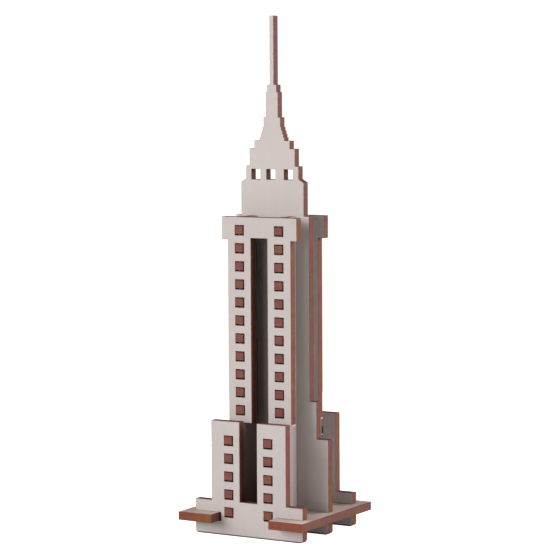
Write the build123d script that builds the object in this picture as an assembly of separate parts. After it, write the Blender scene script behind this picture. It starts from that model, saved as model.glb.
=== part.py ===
from build123d import *
import os

# A desk model of a stepped skyscraper, cut from one thickness of board and slotted together.
# Millimetres. X runs along the front wall, Y from front to back, Z up.
# The origin is on the floor, under the middle of the base plate.

# ---- board and fits
board = 3.0                   # thickness of every sheet
slot_play = 0.05              # gap on each side of a sheet in its slot
window_play = 0.3             # gap on each side of a fin's tab in its window
window_gap = 0.4              # gap above and below the tab

# ---- base plate
foot_height = 4.9             # floor to underside of the base plate
base_width = 49.75
horn_length = 5.5             # how far the base sticks out past the podium walls
foot_radius = 1.2             # rounding of the bottom corners that stand on the floor
notch_play = 0.38             # gap on each side of a podium wall in the base's notch, when centred

# ---- podium walls, the low outer pair
podium_depth = 38.1           # over the outer faces of the pair
podium_width = 30.0
podium_height = 40.0
podium_slot = 7.0             # width of the opening between the two columns
podium_slot_floor = 12.1      # floor to the bottom of that opening
wing_rim = 3.28               # base plate left showing beside each wing, when centred
wing_height = 12.0

# ---- tower walls, the tall inner pair
tower_depth = 22.0            # over the outer faces of the pair
tower_height = 71.75
tower_sunk = 1.4              # how far the legs end below the podium's top
tower_width = 25.2
tower_slot = 6.7
cap_width = 30.0
cap_height = 7.9
cap_lintel = 7.25             # board left above the opening between the legs

# ---- windows and fins
fin_spacing = 15.8            # between the middles of the two fins
inner_shift = 0.13            # the fins and the spire plate stand this far right of the base's middle
window_pitch = 6.28
podium_first_window = 0.2     # base plate's top to the middle of the lowest row
web_margin = 1.45             # board between the lowest windows and the slots for the base's horns
podium_window_margin = 5.5    # least board from the top row's middle to the podium's top
podium_tab_lift = 0.1         # the tabs sit this much above the middle of a podium window
tower_tab_lift = 0.05         # and of a tower window
tab_share = 0.9               # height of a tab, as part of the board's thickness
tower_first_window = 4.65     # tower's top to the middle of the highest row
tower_window_margin = 3.5     # least board from the bottom row's middle to the leg's end
lap_share = 0.5               # part of the fins' height that the spire plate's slots take

# ---- spire plate, the full-height middle sheet
spire_rim = 2.88              # base plate left showing beside the spire plate, when centred
lower_setback_height = 25.3   # base plate's top to the first step
middle_width = 34.8
middle_setback_height = 13.0
shaft_width = 29.4
shaft_above_cap = 0.15

crown_width = 25.16           # first block above the shaft
crown_height = 11.6
crown_slope = 1.2             # height of the slope up to the next block
crown_blocks = [(21.16, 4.4), (18.26, 6.05), (14.26, 2.75)]   # width, height of each block above the slope

flare_bottom_width = 9.96
flare_top_width = 6.76
flare_steps = 4
flare_step_height = 1.18

pinnacle_blocks = [(6.76, 3.4), (4.86, 8.7), (3.76, 2.55)]
mast_width = 1.6
mast_height = 23.8

spire_window = 3.6
spire_window_rise = 0.3       # bottom of the spire windows below the top of the slope
spire_window_middles = (-6.55, -0.5, 6.55)

# ---- heights and places that follow
base_top = foot_height + board
base_depth = podium_depth + 2 * horn_length
wall_shift = notch_play - slot_play      # the walls stand this far right of the base's middle
wing_width = base_width - 2 * wing_rim
podium_inner = podium_depth / 2 - board
tower_bottom = podium_height - tower_sunk
tower_top = tower_bottom + tower_height
tower_inner = tower_depth / 2 - board
lower_width = base_width - 2 * spire_rim
shaft_top = tower_top + shaft_above_cap
fin_height = tower_top - base_top
lap_level = base_top + lap_share * fin_height
slot_width = board + 2 * slot_play
window_width = board + 2 * window_play
tab_height = tab_share * board
window_height = tab_height + 2 * window_gap
podium_web = fin_spacing + window_width + 2 * web_margin

podium_bottom_row = base_top + podium_first_window
podium_row_count = int((podium_height - podium_window_margin - podium_bottom_row) / window_pitch) + 1
podium_rows = [podium_bottom_row + n * window_pitch for n in range(podium_row_count)]

tower_top_row = tower_top - tower_first_window
tower_row_count = int((tower_top_row - tower_window_margin - tower_bottom) / window_pitch) + 1
tower_rows = [tower_top_row - n * window_pitch for n in range(tower_row_count)]


def span(low, high, bottom, top):
    """A flat rectangle from its left, right, bottom and top."""
    return Pos((low + high) / 2, (bottom + top) / 2) * Rectangle(high - low, top - bottom)


def middle_span(width, bottom, top, middle=0.0):
    """A flat rectangle centred on the sheet's own upright line, or on another."""
    return span(middle - width / 2, middle + width / 2, bottom, top)


def round_feet(outline):
    """Round the lowest corners of an upright sheet."""
    return fillet(outline.vertices().group_by(Axis.Y)[0], radius=foot_radius)


def cut_board(outline, plane):
    """A sheet of board with its middle on a plane."""
    return extrude(plane * outline, amount=board / 2, both=True)


def cut_windows(outline, rows):
    """Take both columns of square windows out of a wall."""
    for side in (-1, 1):
        for row in rows:
            outline -= Pos(side * fin_spacing / 2, row) * Rectangle(window_width, window_height)
    return outline


def add_tabs(outline, middles, inner, outer):
    """Add the square tabs that reach from a fin's edge to the outer face of the walls."""
    for side in (-1, 1):
        tab_low, tab_high = sorted((side * inner, side * outer))
        for middle in middles:
            outline += span(tab_low, tab_high, middle - tab_height / 2, middle + tab_height / 2)
    return outline


def base_plate():
    """The floor sheet: horns at its corners, a notch front and back, slots for the spire plate."""
    outline = Rectangle(base_width, base_depth)
    notch_width = podium_web + 2 * notch_play
    for side in (-1, 1):
        notch_low, notch_high = sorted((side * podium_inner, side * base_depth / 2))
        outline -= middle_span(notch_width, notch_low, notch_high)
        leg_low, leg_high = sorted((side * fin_spacing / 2 + side * board / 2,
                                    side * (lower_width / 2 + slot_play)))
        outline -= span(inner_shift + leg_low, inner_shift + leg_high, -slot_width / 2, slot_width / 2)
    outline -= middle_span(fin_spacing - board, -slot_width / 2, slot_width / 2, inner_shift)
    return cut_board(outline, Plane.XY.offset(foot_height + board / 2))


def podium_wall(y):
    """A low wall: two columns, a wing on each side, and a foot below the base plate."""
    outline = middle_span(podium_width, 0, podium_height)
    outline += middle_span(wing_width, 0, wing_height)
    outline = round_feet(outline)
    outline -= middle_span(podium_slot, podium_slot_floor, podium_height)
    for side in (-1, 1):
        horn_low, horn_high = sorted((side * podium_web / 2, side * wing_width / 2))
        outline -= span(horn_low, horn_high, foot_height - slot_play, base_top + slot_play)
    outline = cut_windows(outline, podium_rows)
    return cut_board(Pos(wall_shift, 0) * outline, Plane.XZ.offset(-y))


def tower_wall(y):
    """A tall wall: a wide cap on two legs."""
    outline = middle_span(tower_width, tower_bottom, tower_top)
    outline += middle_span(cap_width, tower_top - cap_height, tower_top)
    outline -= middle_span(tower_slot, tower_bottom, tower_top - cap_lintel)
    outline = cut_windows(outline, tower_rows)
    return cut_board(Pos(wall_shift, 0) * outline, Plane.XZ.offset(-y))


def fin(x):
    """An upright sheet from front to back, with a tab in every window of its columns."""
    outline = middle_span(2 * podium_inner, base_top, tower_bottom)
    outline += middle_span(2 * tower_inner, base_top, tower_top)
    podium_tabs = [row + podium_tab_lift for row in podium_rows]
    outline = add_tabs(outline, podium_tabs, podium_inner, podium_depth / 2)
    tower_tabs = [row + tower_tab_lift for row in tower_rows]
    outline = add_tabs(outline, tower_tabs, tower_inner, tower_depth / 2)
    outline -= middle_span(slot_width, lap_level, tower_top)
    return cut_board(outline, Plane.YZ.offset(x))


def spire_plate():
    """The full-height middle sheet: stepped shaft, crown, flare, pinnacle and mast."""
    lower_top = base_top + lower_setback_height
    middle_top = lower_top + middle_setback_height
    outline = round_feet(middle_span(lower_width, 0, lower_top))
    outline += middle_span(middle_width, base_top, middle_top)
    outline += middle_span(shaft_width, base_top, shaft_top)

    level = shaft_top + crown_height
    outline += middle_span(crown_width, base_top, level)
    slope_top = level + crown_slope
    first_width = crown_blocks[0][0]
    slope = Polyline((-crown_width / 2, level), (crown_width / 2, level),
                     (first_width / 2, slope_top), (-first_width / 2, slope_top), close=True)
    outline += make_face(slope)

    level = slope_top
    for width, height in crown_blocks:
        outline += middle_span(width, shaft_top, level + height)
        level += height
    for step in range(flare_steps):
        share = step / flare_steps
        width = flare_bottom_width + share * (flare_top_width - flare_bottom_width)
        level += flare_step_height
        outline += middle_span(width, shaft_top, level)
    for width, height in pinnacle_blocks:
        level += height
        outline += middle_span(width, shaft_top, level)
    outline += middle_span(mast_width, shaft_top, level + mast_height)

    window_middle = slope_top - spire_window_rise + spire_window / 2
    for x in spire_window_middles:
        outline -= Pos(x, window_middle) * Rectangle(spire_window, spire_window)
    for side in (-1, 1):
        outline -= Pos(side * fin_spacing / 2, lap_level / 2) * Rectangle(slot_width, lap_level)
    return cut_board(Pos(inner_shift, 0) * outline, Plane.XZ)


podium_middle = podium_depth / 2 - board / 2
tower_middle = tower_depth / 2 - board / 2

pieces = {
    "base_plate": base_plate(),
    "front_podium_wall": podium_wall(-podium_middle),
    "rear_podium_wall": podium_wall(podium_middle),
    "front_tower_wall": tower_wall(-tower_middle),
    "rear_tower_wall": tower_wall(tower_middle),
    "spire_plate": spire_plate(),
    "left_fin": fin(inner_shift - fin_spacing / 2),
    "right_fin": fin(inner_shift + fin_spacing / 2),
}

os.makedirs("parts", exist_ok=True)
for name, piece in pieces.items():
    export_step(piece, "parts/" + name + ".step")
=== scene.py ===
# %% [markdown]
# # A stepped skyscraper in slotted board
#
# The object is a desk model of a tall stepped building. Eight flat sheets are laser-cut from one board,
# 3 mm thick, and pushed together without glue: a base, two low podium walls, two tall tower walls, two
# fins that run from front to back, and one full-height middle sheet that carries the crown and the mast.
#
# A flat sheet could be modelled again from scratch, but its outline, windows and slots are already exact
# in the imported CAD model. So this script starts from those outlines. Blender adds what a cut sheet has
# and a CAD sheet has not: softened arrises, a band of smoke haze beside each cut, a dull coat on the
# broad faces, and burnt board on the edges that the laser made.

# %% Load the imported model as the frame
import math

import bmesh
import bpy
from mathutils import Matrix, Vector


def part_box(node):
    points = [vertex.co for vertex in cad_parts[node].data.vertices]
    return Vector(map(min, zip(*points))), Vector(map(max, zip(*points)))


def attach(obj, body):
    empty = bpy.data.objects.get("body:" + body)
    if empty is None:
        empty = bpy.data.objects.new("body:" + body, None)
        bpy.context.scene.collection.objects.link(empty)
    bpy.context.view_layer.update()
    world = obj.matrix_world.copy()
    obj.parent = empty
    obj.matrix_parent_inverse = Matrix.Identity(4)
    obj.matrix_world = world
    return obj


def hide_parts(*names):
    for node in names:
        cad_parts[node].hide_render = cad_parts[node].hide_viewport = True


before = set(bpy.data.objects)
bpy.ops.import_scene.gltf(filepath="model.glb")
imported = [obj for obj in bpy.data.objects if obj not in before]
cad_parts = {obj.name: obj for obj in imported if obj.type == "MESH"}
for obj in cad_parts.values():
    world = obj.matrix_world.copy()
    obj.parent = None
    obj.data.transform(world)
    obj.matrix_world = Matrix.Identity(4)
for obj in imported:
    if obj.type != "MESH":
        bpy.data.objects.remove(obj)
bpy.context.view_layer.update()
mm = 0.001
print("sheets in the frame:", sorted(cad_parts))

# %% [markdown]
# ## Which way each sheet is thin
#
# Every sheet is a flat outline with one thickness, so one of its three sizes is much smaller than the
# others. That direction matters twice. It tells the broad coated faces from the cut edges, and it is the
# way the laser beam went through, which is the way the fine burn lines run. It is measured from the
# sheet's own box, so it stays true if the board or the model changes size.

# %% Find the thin direction of a sheet
axis_letters = "XYZ"


def thin_axis(node):
    """0, 1 or 2: the direction in which this sheet is thinnest."""
    low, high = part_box(node)
    size = high - low
    return min(range(3), key=lambda axis: size[axis])


for node in sorted(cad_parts):
    low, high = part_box(node)
    axis = thin_axis(node)
    print(f"{node}: thin along {axis_letters[axis]}, {(high[axis] - low[axis]) / mm:.2f} mm")

# %% [markdown]
# ## From CAD triangles to a clean sheet
#
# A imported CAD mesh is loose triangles: each has its own three corners, and nothing is joined. A copy is
# merged so that neighbours share corners, and then a limited dissolve takes out every edge between two
# faces in one plane. What is left is the plain sheet: broad faces, and one narrow face for each straight
# run of the cut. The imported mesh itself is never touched.

# %% A merged copy of a sheet
merge_distance = 0.002 * mm
flat_angle = math.radians(0.5)
broad_limit = 0.999           # how squarely a face must point along the thin direction to be broad


def merged_copy(node):
    """An editable copy of a packed sheet with shared corners and no spare edges."""
    sheet = bmesh.new()
    sheet.from_mesh(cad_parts[node].data)
    bmesh.ops.remove_doubles(sheet, verts=sheet.verts, dist=merge_distance)
    bmesh.ops.dissolve_limit(sheet, angle_limit=flat_angle, verts=sheet.verts, edges=sheet.edges)
    return sheet


def is_broad(face, axis):
    """True for a face that lies flat on the board, and false for one that the laser cut."""
    return abs(face.normal[axis]) > broad_limit


trial = merged_copy("spire_plate")
triangle_count = len(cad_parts["spire_plate"].data.polygons)
print("spire plate:", triangle_count, "triangles become", len(trial.faces), "faces")
trial.free()

# %% [markdown]
# ## The haze band and the arrises
#
# Beside each cut the smoke of the laser leaves the coat a little browner. A painted texture could do
# that, but it would have to know where every window is. Instead the broad faces are inset by the width of
# the haze, all in one region, so a narrow band of faces follows the outline and every opening.
#
# The arrises are bevelled by less than a tenth of a millimetre. A knife-sharp corner never catches the
# light, and this small round gives each sheet its thin bright or dark line.

# %% Inset the haze band and round the arrises
haze_width = 0.35 * mm
arris_size = 0.07 * mm


def add_haze_band(sheet, axis):
    """Divide a narrow band from the broad faces, along the outline and round every opening."""
    broad = [face for face in sheet.faces if is_broad(face, axis)]
    bmesh.ops.inset_region(sheet, faces=broad, thickness=haze_width, depth=0.0,
                           use_boundary=True, use_even_offset=True)


def round_arrises(sheet, axis):
    """Round the edges where a broad face meets a cut one."""
    arrises = []
    for edge in sheet.edges:
        kinds = {is_broad(face, axis) for face in edge.link_faces}
        if len(kinds) == 2:
            arrises.append(edge)
    bmesh.ops.bevel(sheet, geom=arrises, affect="EDGES", offset_type="OFFSET", offset=arris_size,
                    segments=2, profile=0.5, material=-1, clamp_overlap=True)
    return len(arrises)


trial = merged_copy("base_plate")
add_haze_band(trial, thin_axis("base_plate"))
print("base plate:", round_arrises(trial, thin_axis("base_plate")), "arrises,", len(trial.faces), "faces")
trial.free()

# %% [markdown]
# ## What the finishes have to know
#
# A finish is the same recipe everywhere, so it needs to be told where on a sheet it is. Four numbers are
# stored in the mesh for it. Two are on the corners: how much haze there is, and how deep a corner lies in
# the board. Two are on the faces: whether a cut runs across the board's length or along it, and whether it
# gets painted shade.
#
# The cuts inside a window get painted shade, for the shade in these narrow openings, and so do a fin's
# edges where they press against a wall. A window is found by its size: it is a ring of joined cut faces
# that is no larger than a few millimetres, while the outline is one ring as large as the sheet.

# %% Find the faces that get painted shade
window_limit = 4.5 * mm
contact_distance = 0.1 * mm
towards_wall = 0.9            # low enough to let in the nearer strip of each arris


def window_faces(sheet, axis):
    """The cut faces inside the small openings: each run of joined cut faces no larger than a window."""
    waiting = {face for face in sheet.faces if not is_broad(face, axis)}
    found = set()
    while waiting:
        run = [waiting.pop()]
        for face in run:
            joined = {other for edge in face.edges for other in edge.link_faces}
            run.extend(joined & waiting)
            waiting -= joined
        places = [corner.co for face in run for corner in face.verts]
        lows = [min(place[way] for place in places) for way in range(3)]
        highs = [max(place[way] for place in places) for way in range(3)]
        if max(high - low for low, high in zip(lows, highs)) < window_limit:
            found.update(run)
    return found


def covered_faces(sheet):
    """The cut faces that stand against the inner side of a front or rear wall."""
    wall_distances = [-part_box(wall)[1].y for wall in ("front_podium_wall", "front_tower_wall")]
    found = set()
    for face in sheet.faces:
        distance = abs(face.calc_center_median().y)
        gap = min(abs(distance - wall_distance) for wall_distance in wall_distances)
        if abs(face.normal.y) > towards_wall and gap < contact_distance:
            found.add(face)
    return found


trial = merged_copy("front_tower_wall")
print("front tower wall:", len(window_faces(trial, thin_axis("front_tower_wall"))), "faces inside windows")
trial.free()
trial = merged_copy("left_fin")
print("left fin:", len(covered_faces(trial)), "faces against a wall")
trial.free()

# %% Store the four numbers
def mark_sheet(sheet, axis, length_axis, low, high):
    """Store haze and depth on every corner, and the way of the cut and its painted shade on every face."""
    haze = sheet.verts.layers.float.new("haze")
    depth = sheet.verts.layers.float.new("depth")
    across = sheet.faces.layers.float.new("across")
    # this face number marks the cut faces that get painted shade
    gap_shade = sheet.faces.layers.float.new("gap_shade")
    gap_shaded_faces = window_faces(sheet, axis)
    if axis == 0:
        gap_shaded_faces |= covered_faces(sheet)
    for corner in sheet.verts:
        touches_cut = any(not is_broad(face, axis) for face in corner.link_faces)
        corner[haze] = 1.0 if touches_cut else 0.0
        corner[depth] = (corner.co[axis] - low) / (high - low)
    for face in sheet.faces:
        face[across] = abs(face.normal[length_axis])
        face[gap_shade] = 1.0 if face in gap_shaded_faces else 0.0


# %% [markdown]
# ## Small helpers for finishes
#
# A finish in Blender is a tree of nodes. Each helper adds a few of them, so that a finish can be read as
# a recipe. Every pattern reads Object coordinates: these are metres on the model, so a pattern has the
# same size on every sheet and needs no unwrapping.

# %% Start a finish
def new_finish(name):
    """An empty material and the two nodes that every finish here ends in."""
    material = bpy.data.materials.new(name)
    material.use_nodes = True
    tree = material.node_tree
    tree.nodes.clear()
    output = tree.nodes.new("ShaderNodeOutputMaterial")
    board = tree.nodes.new("ShaderNodeBsdfPrincipled")
    tree.links.new(board.outputs["BSDF"], output.inputs["Surface"])
    return material, tree, board


# %% Patterns and ranges
usual_range = (0.35, 0.65)    # most of a noise pattern lies between these
wide_range = (0.3, 0.7)


def pattern(tree, scale, stretch=(1, 1, 1), shift=(0, 0, 0), detail=2.0, roughness=0.5):
    """A noise pattern with a scale per metre. A small stretch makes it run long in that direction."""
    place = tree.nodes.new("ShaderNodeTexCoord")
    mapping = tree.nodes.new("ShaderNodeMapping")
    mapping.inputs["Scale"].default_value = stretch
    mapping.inputs["Location"].default_value = shift
    noise = tree.nodes.new("ShaderNodeTexNoise")
    noise.inputs["Scale"].default_value = scale
    noise.inputs["Detail"].default_value = detail
    noise.inputs["Roughness"].default_value = roughness
    tree.links.new(place.outputs["Object"], mapping.inputs["Vector"])
    tree.links.new(mapping.outputs["Vector"], noise.inputs["Vector"])
    return noise.outputs["Fac"]


def spread(tree, value, from_low, from_high, to_low, to_high):
    """Stretch a range of numbers onto another, and keep within it."""
    node = tree.nodes.new("ShaderNodeMapRange")
    node.inputs["From Min"].default_value = from_low
    node.inputs["From Max"].default_value = from_high
    node.inputs["To Min"].default_value = to_low
    node.inputs["To Max"].default_value = to_high
    tree.links.new(value, node.inputs["Value"])
    return node.outputs["Result"]


# %% Mix colours and numbers
def blend_colours(tree, share, first, second):
    """Mix two colours. Each may be a plain colour or another node's output."""
    node = tree.nodes.new("ShaderNodeMix")
    node.data_type = "RGBA"
    tree.links.new(share, node.inputs[0])
    for socket, colour in ((node.inputs[6], first), (node.inputs[7], second)):
        if isinstance(colour, tuple):
            socket.default_value = (*colour, 1.0)
        else:
            tree.links.new(colour, socket)
    return node.outputs[2]


def arithmetic(tree, way, first, second):
    """Add, multiply or otherwise combine two numbers."""
    node = tree.nodes.new("ShaderNodeMath")
    node.operation = way
    for socket, value in ((node.inputs[0], first), (node.inputs[1], second)):
        if isinstance(value, (int, float)):
            socket.default_value = value
        else:
            tree.links.new(value, socket)
    return node.outputs[0]


def tinted(colour, tint):
    """A colour with each of its three parts scaled."""
    return tuple(part * share for part, share in zip(colour, tint))


# %% Stored numbers, places and relief
def stored(tree, name):
    """A number that mark_sheet stored on the sheet."""
    node = tree.nodes.new("ShaderNodeAttribute")
    node.attribute_name = name
    return node.outputs["Fac"]


def place_part(tree, part):
    """The X, Y or Z part of the place on the model, in metres."""
    place = tree.nodes.new("ShaderNodeTexCoord")
    split = tree.nodes.new("ShaderNodeSeparateXYZ")
    tree.links.new(place.outputs["Object"], split.inputs["Vector"])
    return split.outputs[part]


def add_relief(tree, board, height, strength, distance):
    """Turn a pattern into fine relief on the surface."""
    node = tree.nodes.new("ShaderNodeBump")
    node.inputs["Strength"].default_value = strength
    node.inputs["Distance"].default_value = distance
    tree.links.new(height, node.inputs["Height"])
    tree.links.new(node.outputs["Normal"], board.inputs["Normal"])


# %% [markdown]
# ## Painted shade in the shaft and at the feet
#
# The two fins make a narrow shaft that is open only through the slots of the walls. The coat in there is
# painted a darker brown: painted shade for the dim light in the shaft. The shaft's place is read from the
# fins' own boxes. The feet stand on the table, and a thin dark line of painted contact shadow follows them.
# Both are masks made from the place on the model, so nothing has to be drawn on a texture.

# %% Masks for the painted shade in the shaft and at the feet
shaft_shade_past_fins = 0.3 * mm    # the painted shade's edge lies inside the fins' thickness, where it can't be seen
shaft_shade_side_fade = 0.3 * mm
shaft_shade_below_top = 2.35 * mm
shaft_shade_top_fade = 2.0 * mm
foot_shadow_height = 0.60 * mm
foot_shadow_full_share = 0.6        # the painted shadow is full up to this part of its height
foot_shadow_strength = 0.92

left_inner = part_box("left_fin")[1].x
right_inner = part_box("right_fin")[0].x
shaft_middle = (left_inner + right_inner) / 2
shaft_half_width = (right_inner - left_inner) / 2 + shaft_shade_past_fins
shaft_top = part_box("left_fin")[1].z - shaft_shade_below_top


def painted_shaft_shade(tree, share):
    """The share of painted shade: the one given in the narrow shaft between the fins, and none elsewhere.
    """
    from_middle = arithmetic(tree, "SUBTRACT", place_part(tree, "X"), shaft_middle)
    from_middle = arithmetic(tree, "ABSOLUTE", from_middle, 0.0)
    sideways = spread(tree, from_middle, shaft_half_width, shaft_half_width + shaft_shade_side_fade, share, 0.0)
    upwards = spread(tree, place_part(tree, "Z"), shaft_top - shaft_shade_top_fade, shaft_top, 1.0, 0.0)
    return arithmetic(tree, "MULTIPLY", sideways, upwards)


def painted_foot_shadow(tree, share):
    """The share of painted contact shadow: the one given where the board stands on the table, and none
    above.
    """
    height = place_part(tree, "Z")
    return spread(tree, height, foot_shadow_full_share * foot_shadow_height, foot_shadow_height, share, 0.0)


print("smoke reaches", round(shaft_half_width / mm, 2), "mm from the middle of the shaft")
print("and", round(shaft_top / mm, 2), "mm up")

# %% [markdown]
# ## The broad coated face
#
# The board is fibreboard with a thin, warm grey coat, rolled on before cutting. Seen close it isn't one
# colour: the coat is a little thinner along the board's length, so faint streaks run one way, and the
# fibres under it show as fine specks. It is matt, with a slightly uneven sheen. One flat colour would look
# like painted plastic, so the finish starts from two near greys, and adds the streaks, the specks, the haze
# beside each cut, the painted shade of the shaft and the painted contact shadow of the feet, each over the
# one before.

# %% Colours and sizes of the coat
coat_light = (0.408, 0.354, 0.335)
coat_dark = (0.384, 0.332, 0.314)
coat_speck = (0.310, 0.264, 0.247)
haze_brown = (0.215, 0.140, 0.106)
# painted shade: the darker brown of the coat in the narrow shaft between the fins
shaft_shade_brown = (0.085, 0.047, 0.036)
# painted contact shadow: the thin dark line along the feet
foot_shadow_dark = (0.030, 0.026, 0.024)

cloud_scale = 45.0            # the scales say how many marks there are to a metre
haze_break_scale = 420.0
streak_scale = 1100.0
coat_fibre_scale = 3200.0
streak_stretch = 0.06
coat_seed_shift = (0.37, 0.21, 0.13)

cloud_share = 0.55            # clouds and streaks share the way from the dark grey to the light one
streak_share = 0.45
speck_range = (0.60, 0.74)
speck_strength = 0.40
haze_least = 0.25
haze_fade = 2.2               # how fast the haze falls off across its band
haze_strength = 0.14
coat_roughness = (0.50, 0.66)
coat_gloss = 0.25
coat_fibre_relief = 0.6
coat_relief = 0.25
coat_relief_depth = 0.02 * mm


# %% The coat on the broad faces
def make_coat(name, length_axis, seed, tint, shaft_shade):
    """The matt warm grey coat, with faint streaks along one direction of the board."""
    material, tree, board = new_finish(name)
    stretch = [1.0, 1.0, 1.0]
    stretch[length_axis] = streak_stretch
    shift = tuple(seed * part for part in coat_seed_shift)
    clouds = pattern(tree, cloud_scale, shift=shift, detail=3.0)
    streaks = pattern(tree, streak_scale, stretch=stretch, shift=shift, detail=3.0)
    fibres = pattern(tree, coat_fibre_scale, shift=shift, detail=4.0, roughness=0.65)
    haze_break = pattern(tree, haze_break_scale, shift=shift, detail=3.0)

    tone = arithmetic(tree, "ADD", spread(tree, clouds, *usual_range, 0.0, cloud_share),
                      spread(tree, streaks, *usual_range, 0.0, streak_share))
    colour = blend_colours(tree, tone, tinted(coat_dark, tint), tinted(coat_light, tint))
    speck_share = spread(tree, fibres, *speck_range, 0.0, speck_strength)
    colour = blend_colours(tree, speck_share, colour, tinted(coat_speck, tint))

    near_cut = arithmetic(tree, "POWER", stored(tree, "haze"), haze_fade)
    unevenness = spread(tree, haze_break, *usual_range, haze_least, 1.0)
    uneven_haze = arithmetic(tree, "MULTIPLY", near_cut, unevenness)
    haze_share = arithmetic(tree, "MULTIPLY", uneven_haze, haze_strength)
    colour = blend_colours(tree, haze_share, colour, haze_brown)
    # painted shade in the narrow shaft between the fins
    colour = blend_colours(tree, painted_shaft_shade(tree, shaft_shade), colour, shaft_shade_brown)
    # painted contact shadow along the feet
    colour = blend_colours(tree, painted_foot_shadow(tree, foot_shadow_strength), colour, foot_shadow_dark)

    tree.links.new(colour, board.inputs["Base Color"])
    tree.links.new(spread(tree, streaks, *wide_range, *coat_roughness), board.inputs["Roughness"])
    board.inputs["Specular IOR Level"].default_value = coat_gloss
    relief = arithmetic(tree, "ADD", arithmetic(tree, "MULTIPLY", fibres, coat_fibre_relief), streaks)
    add_relief(tree, board, relief, coat_relief, coat_relief_depth)
    return material


# %% [markdown]
# ## The laser-cut edge
#
# Fibreboard chars as the beam goes through it. The edge is red-brown, and its hue drifts between olive,
# orange and pink over a few millimetres, because the burn isn't equally hot everywhere. It is a little
# darker along both arrises, and painted much darker inside the walls' windows, as painted shade. The beam
# also leaves straight lines that run through the board from face to face, because it pulses as the head
# moves along. Two noise patterns give those lines, one fine and one broad: both are stretched along the
# thin direction until they hardly change there. So an edge finish has to know in which direction its sheet
# is thin.

# %% Colours and sizes of the burnt edge
edge_red = (0.122, 0.041, 0.034)
edge_orange = (0.150, 0.049, 0.024)
edge_olive = (0.136, 0.060, 0.026)
edge_pink = (0.146, 0.040, 0.044)
edge_pale = (0.185, 0.080, 0.056)
# a dark char for the burn lines and arrises, and also the colour of the painted shade inside windows
edge_char_and_shade = (0.034, 0.013, 0.011)

drift_scale = 150.0           # the scales say how many marks there are to a metre
patch_scale = 230.0
broad_line_scale = 520.0
line_scale = 2600.0
edge_fibre_scale = 5200.0
through_stretch = 0.02
edge_seed_shift = (0.29, 0.17, 0.41)

patch_range = (0.38, 0.62)    # each range says where in its pattern a mark starts and is full
olive_range = (0.50, 0.62)
pink_range = (0.38, 0.50)
hue_drift = 0.62
pale_line_range = (0.50, 0.72)
pale_line_strength = 0.28
dark_line_range = (0.30, 0.52)
dark_line_strength = 0.22
pale_fibre_range = (0.58, 0.75)
pale_fibre_strength = 0.30
arris_range = (0.42, 0.50)    # distance from the middle of the board, as part of its thickness
arris_char = 0.12
edge_roughness = (0.72, 0.52)
edge_gloss = 0.15
edge_fibre_relief = 0.5
edge_relief = 0.45
edge_relief_depth = 0.05 * mm


# %% The burnt edge
def make_burnt_edge(name, axis, seed, tint_along, tint_across, window_shade):
    """Charred fibreboard, with burn lines that run through the board."""
    material, tree, board = new_finish(name)
    through = [1.0, 1.0, 1.0]
    through[axis] = through_stretch
    shift = tuple(seed * part for part in edge_seed_shift)
    drift_shift = (shift[1], shift[2], shift[0])
    lines = pattern(tree, line_scale, stretch=through, shift=shift, detail=3.0, roughness=0.6)
    broad_lines = pattern(tree, broad_line_scale, stretch=through, shift=shift, detail=2.0)
    patches = pattern(tree, patch_scale, shift=shift, detail=2.0)
    drift = pattern(tree, drift_scale, shift=drift_shift, detail=1.0)
    fibres = pattern(tree, edge_fibre_scale, shift=shift, detail=3.0, roughness=0.6)

    patch_share = spread(tree, patches, *patch_range, 0.0, 1.0)
    olive_share = spread(tree, drift, *olive_range, 0.0, hue_drift)
    pink_share = spread(tree, drift, *pink_range, hue_drift, 0.0)
    tones = []
    for tint in (tint_along, tint_across):
        tone = blend_colours(tree, patch_share, tinted(edge_red, tint), tinted(edge_orange, tint))
        tone = blend_colours(tree, olive_share, tone, tinted(edge_olive, tint))
        tones.append(blend_colours(tree, pink_share, tone, tinted(edge_pink, tint)))
    colour = blend_colours(tree, stored(tree, "across"), tones[0], tones[1])

    pale_lines = spread(tree, broad_lines, *pale_line_range, 0.0, pale_line_strength)
    colour = blend_colours(tree, pale_lines, colour, edge_pale)
    dark_lines = spread(tree, lines, *dark_line_range, dark_line_strength, 0.0)
    colour = blend_colours(tree, dark_lines, colour, edge_char_and_shade)
    pale_fibres = spread(tree, fibres, *pale_fibre_range, 0.0, pale_fibre_strength)
    colour = blend_colours(tree, pale_fibres, colour, edge_pale)

    from_middle = arithmetic(tree, "SUBTRACT", stored(tree, "depth"), 0.5)
    from_middle = arithmetic(tree, "ABSOLUTE", from_middle, 0.0)
    at_arris = spread(tree, from_middle, *arris_range, 0.0, arris_char)
    colour = blend_colours(tree, at_arris, colour, edge_char_and_shade)
    # painted shade on the cuts inside windows and where a fin presses against a wall
    painted_gap_shade = arithmetic(tree, "MULTIPLY", stored(tree, "gap_shade"), window_shade)
    colour = blend_colours(tree, painted_gap_shade, colour, edge_char_and_shade)

    tree.links.new(colour, board.inputs["Base Color"])
    tree.links.new(spread(tree, lines, *wide_range, *edge_roughness), board.inputs["Roughness"])
    board.inputs["Specular IOR Level"].default_value = edge_gloss
    relief = arithmetic(tree, "ADD", lines, arithmetic(tree, "MULTIPLY", fibres, edge_fibre_relief))
    add_relief(tree, board, relief, edge_relief, edge_relief_depth)
    return material


# %% [markdown]
# ## A pale strip at the legs' ends
#
# The lowest sliver of the outer sides of the tower walls' legs is a pale tan, a thin bright line. A thin
# block could be stuck on there, but a third finish on a strip of the sheet's own faces keeps the sheet in
# one piece.

# %% The pale strip
pale_tan = (0.62, 0.42, 0.30)
darker_share = (0.75, 0.72, 0.68)
grain_scale = 2600.0
grain_relief = 0.3
grain_relief_depth = 0.03 * mm


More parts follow.
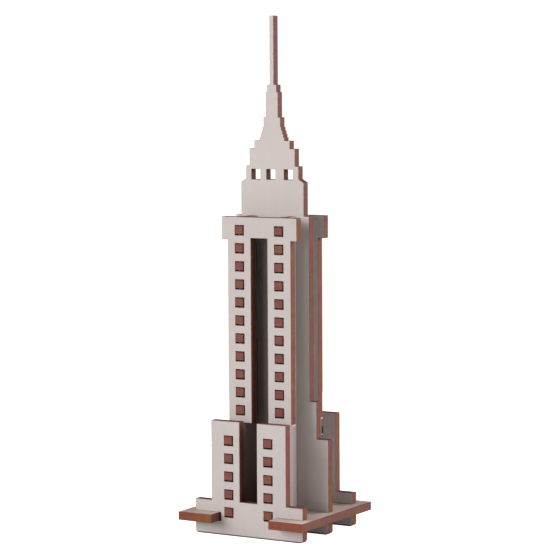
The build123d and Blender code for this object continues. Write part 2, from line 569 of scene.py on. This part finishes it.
def make_pale_leg_strip(name):
    """A pale tan with a fine grain."""
    material, tree, board = new_finish(name)
    grain = pattern(tree, grain_scale, detail=3.0, roughness=0.6)
    colour = blend_colours(tree, grain, tinted(pale_tan, darker_share), pale_tan)
    tree.links.new(colour, board.inputs["Base Color"])
    board.inputs["Roughness"].default_value = 0.8
    board.inputs["Specular IOR Level"].default_value = edge_gloss
    add_relief(tree, board, grain, grain_relief, grain_relief_depth)
    return material


pale_leg_strip = make_pale_leg_strip("pale_leg_strip")
print("finish:", pale_leg_strip.name)

# %% [markdown]
# ## One pair of finishes for each kind of sheet
#
# The base, the walls, the spire plate and the fins are cut from the same stock, but they were cut from
# different places in it and at slightly different heat. So each kind gets its own coat and burnt edge, with
# its own seed and its own tints, and two shares: how much painted shade its coat gets in the shaft, and how
# much painted shade its window cuts and covered edges get. The board's length runs upwards on every upright
# sheet, and from front to back on the base. There a cut across the length burns to a clear orange, and a
# cut along it stays a duller red-brown.

# %% Which kind of board each sheet is cut from
sheet_slots = {
    "base_plate": "base_board",
    "front_podium_wall": "wall_board",
    "rear_podium_wall": "wall_board",
    "front_tower_wall": "wall_board",
    "rear_tower_wall": "wall_board",
    "spire_plate": "spire_board",
    "left_fin": "fin_board",
    "right_fin": "fin_board",
}
thin_axes = {slot: thin_axis(node) for node, slot in sheet_slots.items()}
for slot, axis in thin_axes.items():
    print(slot, "is thin along", axis_letters[axis])

# %% Make the finishes
# each kind's two shares after its seed are painted shade: in the narrow shaft, and inside the windows
board_kinds = {
    "base_board": {
        "length": 1, "seed": 1, "shaft_shade": 0.0, "window_shade": 0.0,
        "coat": (1.12, 1.00, 0.97), "along": (0.96, 1.07, 1.30), "across": (1.22, 1.00, 0.66),
    },
    "wall_board": {
        "length": 2, "seed": 2, "shaft_shade": 0.0, "window_shade": 0.8,
        "coat": (1.00, 1.02, 1.03), "along": (1.08, 1.08, 1.00), "across": (0.95, 0.95, 1.05),
    },
    "spire_board": {
        "length": 2, "seed": 3, "shaft_shade": 0.42, "window_shade": 0.1,
        "coat": (1.05, 1.08, 1.09), "along": (0.93, 1.00, 1.05), "across": (0.90, 0.95, 1.05),
    },
    "fin_board": {
        "length": 2, "seed": 4, "shaft_shade": 0.42, "window_shade": 0.85,
        "coat": (1.00, 1.00, 1.00), "along": (1.12, 1.02, 1.05), "across": (0.95, 0.90, 1.00),
    },
}
finishes = {}
for slot, kind in board_kinds.items():
    coat = make_coat(slot + "_grey_coat", kind["length"], kind["seed"], kind["coat"], kind["shaft_shade"])
    burnt = make_burnt_edge(slot + "_burnt_edge", thin_axes[slot], kind["seed"],
                            kind["along"], kind["across"], kind["window_shade"])
    finishes[slot] = (coat, burnt)
    print(slot, "->", coat.name, "and", burnt.name)

# %% [markdown]
# ## Mark the pale strip
#
# The strip at the end of each leg is part of a face that runs all the way up the leg. So the outer side
# faces of the legs are divided with a bisect at one level, and only those: a bisect of the whole sheet
# would also cut the broad faces and leave needless short edges in them. A bisect may hand the faces back
# in a different order each time, so they are put in a fixed order after it.

# %% Divide the legs' sides near their ends
coat_index = 0
burnt_index = 1
pale_strip_index = 2
pale_strip_height = 0.4 * mm
outer_leg_share = 0.35        # part of the wall's width past which a side face is on the outside of a leg
side_limit = 0.99             # how squarely a face must point sideways to be a side
corner_limit = 100000         # more corners than any sheet has
pale_strip_sheets = ("front_tower_wall", "rear_tower_wall")


def leg_sides(sheet, low, high, level):
    """The outer side faces of a wall's legs that reach below a level."""
    middle = (low.x + high.x) / 2
    leg_reach = outer_leg_share * (high.x - low.x)
    found = []
    for face in sheet.faces:
        reach = abs(face.calc_center_median().x - middle)
        lowest = min(corner.co.z for corner in face.verts)
        if abs(face.normal.x) > side_limit and reach > leg_reach and lowest < level:
            found.append(face)
    return found


def corner_order(face):
    """A number for a face, from the numbers of its first three corners. No two faces share it."""
    first, second, third = sorted(corner.index for corner in face.verts)[:3]
    return (first * corner_limit + second) * corner_limit + third


def mark_pale_leg_strip(sheet, low, high):
    """Divide the outer sides of the legs near their ends, and give the ends the pale strip."""
    level = low.z + pale_strip_height
    sides = leg_sides(sheet, low, high, level)
    edges = [edge for edge in sheet.edges if any(face in sides for face in edge.link_faces)]
    corners = [corner for corner in sheet.verts if any(face in sides for face in corner.link_faces)]
    bmesh.ops.bisect_plane(sheet, geom=[*corners, *edges, *sides],
                           plane_co=(0.0, 0.0, level), plane_no=(0.0, 0.0, 1.0))
    sheet.verts.index_update()
    sheet.faces.sort(key=corner_order)
    for face in leg_sides(sheet, low, high, level):
        if face.calc_center_median().z < level:
            face.material_index = pale_strip_index


print("a clean break of", round(pale_strip_height / mm, 2), "mm on", " and ".join(pale_strip_sheets))

# %% [markdown]
# ## Finish the eight sheets
#
# Each sheet is copied, banded, rounded and marked in the same way, and gets its two finishes: the coat on
# every face that lies flat on the board, and the burnt edge on all the rest, arrises included. The tower
# walls get the pale strip as a third. Every face is shaded flat, because smooth shading would bend the
# light across flat board.

def finish_sheet(node, slot):
    """The finished sheet that stands for one CAD node."""
    axis = thin_axis(node)
    low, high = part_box(node)
    sheet = merged_copy(node)
    add_haze_band(sheet, axis)
    arris_count = round_arrises(sheet, axis)
    sheet.normal_update()
    mark_sheet(sheet, axis, board_kinds[slot]["length"], low[axis], high[axis])
    for face in sheet.faces:
        face.material_index = coat_index if is_broad(face, axis) else burnt_index
        face.smooth = False
    if node in pale_strip_sheets:
        mark_pale_leg_strip(sheet, low, high)
    mesh = bpy.data.meshes.new("cut_" + node)
    sheet.to_mesh(mesh)
    sheet.free()
    for finish in finishes[slot]:
        mesh.materials.append(finish)
    if node in pale_strip_sheets:
        mesh.materials.append(pale_leg_strip)
    piece = bpy.data.objects.new("cut_" + node, mesh)
    bpy.context.scene.collection.objects.link(piece)
    print(f"{piece.name}: {arris_count} arrises rounded, {len(mesh.polygons)} faces")
    return piece


for node, slot in sheet_slots.items():
    piece = finish_sheet(node, slot)
    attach(piece, "root")
    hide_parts(node)

# %% [markdown]
# ## The floor
#
# The model stands on a plain white table, and a flat disc is enough for it. To the eye it glows as a
# backlit table does, a little more towards its rim, so that the rim melts into the white around it and only
# a trace of shadow is left under the feet. As a light it hardly glows at all, and its own colour is a dull
# white, so that little light comes back up into the slots.

# %% The white table
floor_radius = 0.36
floor_glow = 0.02
seen_glow_near = 0.93
seen_glow_rim = 1.10
glow_from = 0.05              # metres from the middle, where the seen glow starts to rise
glow_to = 0.20
table_dull = (0.60, 0.60, 0.60)
table_pale = (0.64, 0.64, 0.64)
table_cloud_scale = 6.0


def make_table_white():
    """A smooth dull white table with a trace of unevenness and a glow that is mostly for the eye."""
    material, tree, board = new_finish("table_white")
    cloud = pattern(tree, table_cloud_scale, detail=2.0)
    colour = blend_colours(tree, spread(tree, cloud, *wide_range, 0.0, 1.0), table_dull, table_pale)
    tree.links.new(colour, board.inputs["Base Color"])
    board.inputs["Roughness"].default_value = 0.9
    board.inputs["Specular IOR Level"].default_value = 0.1
    board.inputs["Emission Color"].default_value = (1.0, 1.0, 1.0, 1.0)
    place = tree.nodes.new("ShaderNodeTexCoord")
    distance = tree.nodes.new("ShaderNodeVectorMath")
    distance.operation = "LENGTH"
    tree.links.new(place.outputs["Object"], distance.inputs[0])
    seen_glow = spread(tree, distance.outputs["Value"], glow_from, glow_to, seen_glow_near, seen_glow_rim)
    ray_kind = tree.nodes.new("ShaderNodeLightPath")
    seen_glow = arithmetic(tree, "MULTIPLY", ray_kind.outputs["Is Camera Ray"], seen_glow)
    tree.links.new(arithmetic(tree, "ADD", seen_glow, floor_glow), board.inputs["Emission Strength"])
    return material


table = bmesh.new()
bmesh.ops.create_circle(table, cap_ends=True, segments=96, radius=floor_radius)
table_mesh = bpy.data.meshes.new("white_table")
table.to_mesh(table_mesh)
table.free()
table_mesh.materials.append(make_table_white())
floor = bpy.data.objects.new("white_table", table_mesh)
bpy.context.scene.collection.objects.link(floor)
print("table radius:", floor_radius, "m")

# %% [markdown]
# ## Studio light
#
# Five square soft boxes stand round the model, all at one distance. The largest is to the front and left:
# it lights the broad fronts and leaves the inner sheets in the shade of the walls. A low one almost in
# front reaches into the slots. One on each side lights the cut edges there, and one behind to the right
# keeps the back and the right sides from going dark. The world is white to the eye but gives almost no
# light, as a white paper background far behind a model does.

# %% Soft boxes
light_middle = Vector((0.0, 0.0, 0.09))
light_distance = 0.9
soft_boxes = [
    # turn from the front and height as angles, size in metres, power in watts
    {"name": "key_box", "turn": -32.0, "height": 21.0, "size": 0.60, "watts": 8.3},
    {"name": "low_front_box", "turn": -5.0, "height": 6.0, "size": 0.50, "watts": 2.4},
    {"name": "left_box", "turn": -75.0, "height": 20.0, "size": 0.50, "watts": 4.9},
    {"name": "right_box", "turn": 90.0, "height": 8.0, "size": 0.50, "watts": 6.4},
    {"name": "back_right_box", "turn": 140.0, "height": 25.0, "size": 0.50, "watts": 8.2},
]


def add_soft_box(name, turn, height, size, watts):
    """A square soft box that looks at the middle of the model."""
    turn = math.radians(turn)
    height = math.radians(height)
    level_reach = math.cos(height)
    towards = Vector((math.sin(turn) * level_reach, -math.cos(turn) * level_reach, math.sin(height)))
    light = bpy.data.lights.new(name, "AREA")
    light.shape = "SQUARE"
    light.size = size
    light.energy = watts
    box = bpy.data.objects.new(name, light)
    box.location = light_middle + towards * light_distance
    box.rotation_euler = (-towards).to_track_quat("-Z", "Y").to_euler()
    bpy.context.scene.collection.objects.link(box)


for settings in soft_boxes:
    add_soft_box(**settings)
    print(settings["name"], settings["watts"], "W")

# %% White surroundings
surround_seen = 1.1
surround_light = 0.024
world = bpy.data.worlds.new("white_room")
bpy.context.scene.world = world
world.use_nodes = True
room = world.node_tree
room.nodes.clear()
room_output = room.nodes.new("ShaderNodeOutputWorld")
seen_white = room.nodes.new("ShaderNodeBackground")
seen_white.inputs["Color"].default_value = (1.0, 1.0, 1.0, 1.0)
seen_white.inputs["Strength"].default_value = surround_seen
dim_white = room.nodes.new("ShaderNodeBackground")
dim_white.inputs["Color"].default_value = (1.0, 1.0, 1.0, 1.0)
dim_white.inputs["Strength"].default_value = surround_light
ray_kind = room.nodes.new("ShaderNodeLightPath")
choose = room.nodes.new("ShaderNodeMixShader")
room.links.new(ray_kind.outputs["Is Camera Ray"], choose.inputs[0])
room.links.new(dim_white.outputs[0], choose.inputs[1])
room.links.new(seen_white.outputs[0], choose.inputs[2])
room.links.new(choose.outputs[0], room_output.inputs["Surface"])
print("surroundings:", surround_seen, "to the eye,", surround_light, "as a light")

# %% [markdown]
# ## Camera
#
# A long lens from the right of the front, at about the height of the mast's foot, looks slightly down. A
# catalogue picture of a tall object is often taken so, because the uprights stay almost parallel. The turn,
# tilt and roll are given as three plain angles in degrees, applied one after the other.

# %% Place the camera
camera_place = Vector((0.413926, -0.698648, 0.158077))
camera_turn = 30.634
camera_tilt = 4.818
camera_roll = -0.302
camera_lens = 152.78

camera_data = bpy.data.cameras.new("catalogue_camera")
camera_data.sensor_width = 36.0
camera_data.lens = camera_lens
camera_data.clip_start = 0.05
camera_data.clip_end = 20.0
camera = bpy.data.objects.new("catalogue_camera", camera_data)
turned = (Matrix.Rotation(math.radians(camera_turn), 4, "Z")
          @ Matrix.Rotation(math.radians(90.0 - camera_tilt), 4, "X")
          @ Matrix.Rotation(math.radians(camera_roll), 4, "Z"))
camera.matrix_world = Matrix.Translation(camera_place) @ turned
bpy.context.scene.collection.objects.link(camera)
bpy.context.scene.camera = camera
bpy.context.scene.view_settings.view_transform = "Standard"
print("camera at", [round(v, 3) for v in camera_place], "lens", camera_lens, "mm")
